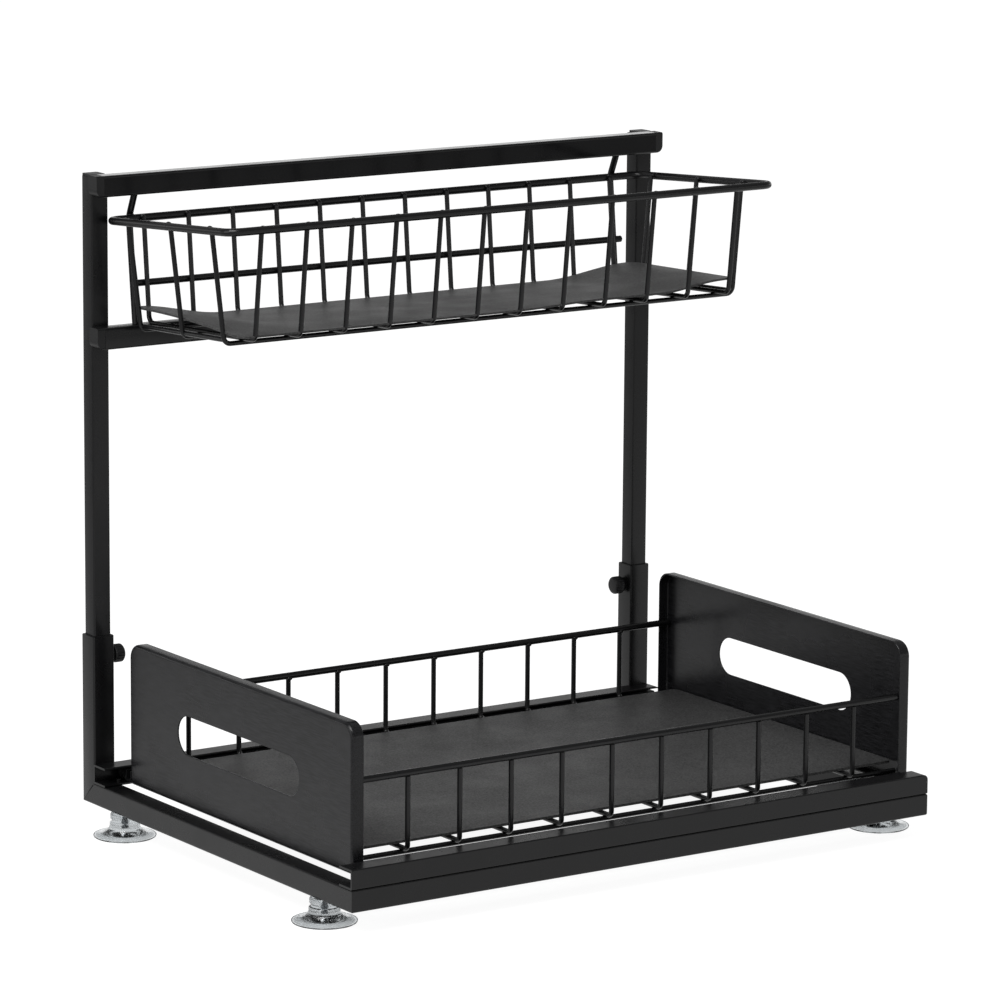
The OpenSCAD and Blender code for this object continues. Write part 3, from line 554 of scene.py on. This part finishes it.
cloud = add(tree, "ShaderNodeTexNoise", links={"Vector": place},
            inputs={"Scale": per_metre(41.7), "Detail": 3.0})
streaks = add(tree, "ShaderNodeBump", links={"Height": grain.outputs["Fac"]},
              inputs={"Strength": 0.4, "Distance": 0.04 * MM})
rough = add(tree, "ShaderNodeMapRange", links={"Value": cloud.outputs["Fac"]},
            inputs={**CLOUD_SPAN, "To Min": 0.22, "To Max": 0.32})
spread = add(tree, "ShaderNodeMapRange", links={"Value": grain.outputs["Fac"]},
             inputs={"From Min": 0.36, "From Max": 0.64})
tone = add(tree, "ShaderNodeMix", {"data_type": "RGBA"},
           {MIX_A: linear("#070708"), MIX_B: linear("#1e1e20")}, {MIX_FACTOR: spread.outputs[0]})
close_material(tree, add(tree, "ShaderNodeBsdfPrincipled",
                         inputs={"IOR": 1.5, "Specular IOR Level": 0.26},
                         links={"Base Color": tone.outputs[MIX_COLOUR],
                                "Roughness": rough.outputs[0], "Normal": streaks.outputs[0]}))


def plate_ring(inset):
    """(y, z) around a plate, inset from its outline: straight sides with larger arcs above and
    smaller ones below, each radius less the inset, counted side by side so that rings match."""
    width, height = PLATE_W - 2 * inset, PLATE_H - 2 * inset
    low, high = max(LOW_R - inset, 0.15), max(TOP_R - inset, 0.5)
    legs = [((low, 0), (width - low, 0)), ((width - low, low), low, -90),
            ((width, low), (width, height - high)), ((width - high, height - high), high, 0),
            ((width - high, height), (high, height)), ((high, height - high), high, 90),
            ((0, height - high), (0, low)), ((low, low), low, 180)]
    out = []
    for leg, count in zip(legs, LEG_POINTS):
        if len(leg) == 2:
            t = np.linspace(0, 1, count, endpoint=False)[:, None]
            out.append(np.array(leg[0]) * (1 - t) + np.array(leg[1]) * t)
        else:
            a = np.radians(leg[2] + np.linspace(0, 90, count, endpoint=False))
            out.append(np.array(leg[0]) + leg[1] * np.stack([np.cos(a), np.sin(a)], axis=1))
    return np.concatenate(out) + inset


def slot_ring(grow):
    """(y, z) around the hand slot, grown outwards: two straight sides and two half circles, cut at
    angles in degrees where plate_ring's legs change, so that the rings match one to one."""
    half, radius = (SLOT_W - SLOT_H) / 2, SLOT_H / 2 + grow
    spans = [None, (-90, -62), (-62, 55), (55, 90), None, (90, 125), (125, 242), (242, 270)]
    out = []
    for k, (span, count) in enumerate(zip(spans, LEG_POINTS)):
        if span is None:
            t = np.linspace(-half, half, count, endpoint=False) * (1 if k == 0 else -1)
            out.append(np.stack([t, np.full(count, -radius if k == 0 else radius)], axis=1))
        else:
            a = np.radians(np.linspace(span[0], span[1], count, endpoint=False))
            centre = half if k < 4 else -half
            out.append(np.stack([centre + radius * np.cos(a), radius * np.sin(a)], axis=1))
    return np.concatenate(out) + SLOT_AT


def end_plate(x_face, inward):
    """Closed grid of rings: slot edge, inner face and fold, flange, lip, outer fold and face."""
    fold = np.radians(np.linspace(0, 90, 7))
    burr, web, inner_r = slot_ring(0.2), plate_ring(2.6), FOLD_R - SHEET
    flange = FLANGE - 3.0, FLANGE - 0.2
    rows = [(burr, 0.0), (slot_ring(0.0), 0.2), (slot_ring(0.0), SHEET - 0.2), (burr, SHEET)]
    rows += [(burr * (1 - t) + web * t, SHEET) for t in (0.08, 0.4, 0.7, 1.0)]
    rows += [(plate_ring(SHEET + inner_r * (1 - math.sin(a))), SHEET + inner_r * (1 - math.cos(a)))
             for a in fold]
    rows += [(plate_ring(SHEET), depth) for depth in flange]
    rows += [(plate_ring(SHEET - 0.2), FLANGE), (plate_ring(0.2), FLANGE)]
    rows += [(plate_ring(0), depth) for depth in flange[::-1]]
    rows += [(plate_ring(FOLD_R * (1 - math.sin(a))), FOLD_R * (1 - math.cos(a)))
             for a in fold[::-1]]
    rows += [(burr * (1 - t) + web * t, 0.0) for t in (1.0, 0.7, 0.4, 0.08)]
    return np.stack([np.concatenate([np.full((len(ring), 1), x_face + inward * depth),
                                     ring + (PLATE_Y0, PLATE_Z)], axis=1) for ring, depth in rows])


for side, x, inward in (("left", DRAWER_X0, 1), ("right", DRAWER_X1 + 1, -1)):
    piece(f"drawer_{side}_plate", [end_plate(x, inward)], plate_coat, "drawer",
          [f"{side}_end_plate"], True, 32)

# Drawer fences: two 4 mm top wires and two 3 mm low wires run between the end plates, and
# ten 3 mm cross wires, bent up at both ends, make the floor and the fences' uprights.
# The runners under them are folded sheet.
FENCE_Y, FENCE_Z, DRAWER_FLOOR = PLATE_Y0 + 3, PLATE_Z + 52.5, PLATE_Z + 8.7
TOP_D, LOW_D, LOW_Y = 4, 3, FENCE_Y + 7
LOW_Z = DRAWER_FLOOR - LOW_D + SINK
UPRIGHTS, UPRIGHT_PITCH, UPRIGHT_TOP = 10, 34.5, FENCE_Z - 1.6
wear(["front_runner", "rear_runner"], coat)
for side, sign in (("front", 1), ("rear", -1)):
    for what, from_front, z, size in (("top", FENCE_Y, FENCE_Z, TOP_D),
                                      ("low", LOW_Y, LOW_Z, LOW_D)):
        y = SLIDE_MID + sign * (from_front - SLIDE_MID)
        piece(f"drawer_{side}_{what}_rod",
              [wire([[DRAWER_X0 + 1, y, z], [DRAWER_X1 - 1, y, z]], size, 1)],
              wire_coat, "drawer", [f"{side}_{what}_wire"])
rear_fence = 2 * SLIDE_MID - FENCE_Y
drawer_x = DRAWER_MID + (np.arange(UPRIGHTS) - (UPRIGHTS - 1) / 2) * UPRIGHT_PITCH
piece("drawer_cross_rods", [
    wire([[x, FENCE_Y, UPRIGHT_TOP], [x, FENCE_Y, DRAWER_FLOOR], [x, rear_fence, DRAWER_FLOOR],
          [x, rear_fence, UPRIGHT_TOP]], LOW_D, 3)
    for x in drawer_x], wire_coat, "drawer", ["drawer_cross_wires"])
piece("drawer_weld_nuggets", [
    ball * (1.9, 1.4, 1.3) + (x, y + 1.3 * inside, FENCE_Z - 1.4)
    for x in drawer_x for y, inside in ((FENCE_Y, 1), (rear_fence, -1))],
      wire_coat, "drawer", sharp=80)

# Drawer liner: the same grey sheet, 1.5 mm thick, cut a little smaller than the drawer
# and laid flat on its cross wires.
piece("drawer_liner_sheet",
      [sheet(-185.5, 198.5, -115.5, 102.5, 39.3, 40.8, 4, lambda x, v: 0 * x)],
      liner_mat, "drawer", ["drawer_liner"])

# Studio: a plain white floor and surround. In mirrored rays the floor is brightest
# around the object and the room above it is dimmer, as a lit table in a room is.
WHITE = (1, 1, 1, 1)


def studio_glow(tree, measure, span, levels):
    """Strength 1 for camera and transmission rays; for glossy rays it goes from the first level to
    the second as the measured value crosses the span."""
    rays = add(tree, "ShaderNodeLightPath").outputs
    fade = add(tree, "ShaderNodeMapRange", links={"Value": measure},
               inputs={"From Min": span[0], "From Max": span[1],
                       "To Min": levels[0], "To Max": levels[1]})
    gloss = add(tree, "ShaderNodeMath", {"operation": "MULTIPLY"},
                links={0: rays["Is Glossy Ray"], 1: fade.outputs[0]})
    clear = add(tree, "ShaderNodeMath", {"operation": "MAXIMUM"},
                links={0: rays["Is Camera Ray"], 1: rays["Is Transmission Ray"]})
    return add(tree, "ShaderNodeMath", {"operation": "MAXIMUM"},
               links={0: gloss.outputs[0], 1: clear.outputs[0]}).outputs[0]


bpy.ops.mesh.primitive_plane_add(size=14, location=(0, 0, 0))
floor = bpy.context.object
floor.name = "studio_floor"
floor_mat, tree, place = new_material("white_sweep")
distance = add(tree, "ShaderNodeVectorMath", {"operation": "DISTANCE"}, {1: (0.3, -0.3, 0.0)},
               {0: place})
seen = studio_glow(tree, distance.outputs["Value"], (0.5, 1.5), (0.82, 0.22))
matte = add(tree, "ShaderNodeBsdfDiffuse", inputs={"Color": (0.22, 0.22, 0.22, 1)})
level = add(tree, "ShaderNodeMath", {"operation": "MULTIPLY"}, {1: 0.93}, {0: seen})
glow = add(tree, "ShaderNodeEmission", inputs={"Color": WHITE},
           links={"Strength": level.outputs[0]})
both = add(tree, "ShaderNodeAddShader", links={0: matte.outputs[0], 1: glow.outputs[0]})
close_material(tree, both)
floor.data.materials.append(floor_mat)

world = bpy.data.worlds.new("studio_world")
bpy.context.scene.world = world
world.use_nodes = True
tree = world.node_tree
tree.nodes.clear()
heading = add(tree, "ShaderNodeTexCoord").outputs["Generated"]
height = add(tree, "ShaderNodeSeparateXYZ", links={0: heading})
seen = studio_glow(tree, height.outputs["Z"], (0.13, 0.2), (1.3, 0.3))
rays = add(tree, "ShaderNodeLightPath").outputs
soft = add(tree, "ShaderNodeMath", {"operation": "MULTIPLY"}, {1: 0.5}, {0: rays["Is Diffuse Ray"]})
strength = add(tree, "ShaderNodeMath", {"operation": "MAXIMUM"},
               links={0: seen, 1: soft.outputs[0]})
surround = add(tree, "ShaderNodeBackground", inputs={"Color": WHITE},
               links={"Strength": strength.outputs[0]})
add(tree, "ShaderNodeOutputWorld", links={"Surface": surround.outputs[0]})

for name, lamp_at, aim, power, size in (
        ("left_soft_box", (-1.7, 0.1, 1.0), (0, 0, 0.2), 7, 1.1),
        ("front_left_soft_box", (-1.0, -0.5, 1.6), (0, 0, 0.1), 26, 1.0)):
    lamp_data = bpy.data.lights.new(name, "AREA")
    lamp_data.energy = power
    lamp_data.size = size
    lamp = bpy.data.objects.new(name, lamp_data)
    lamp.location = lamp_at
    lamp.rotation_euler = (Vector(aim) - Vector(lamp_at)).to_track_quat("-Z", "Y").to_euler()
    bpy.context.scene.collection.objects.link(lamp)

bpy.context.scene.view_settings.view_transform = "Standard"
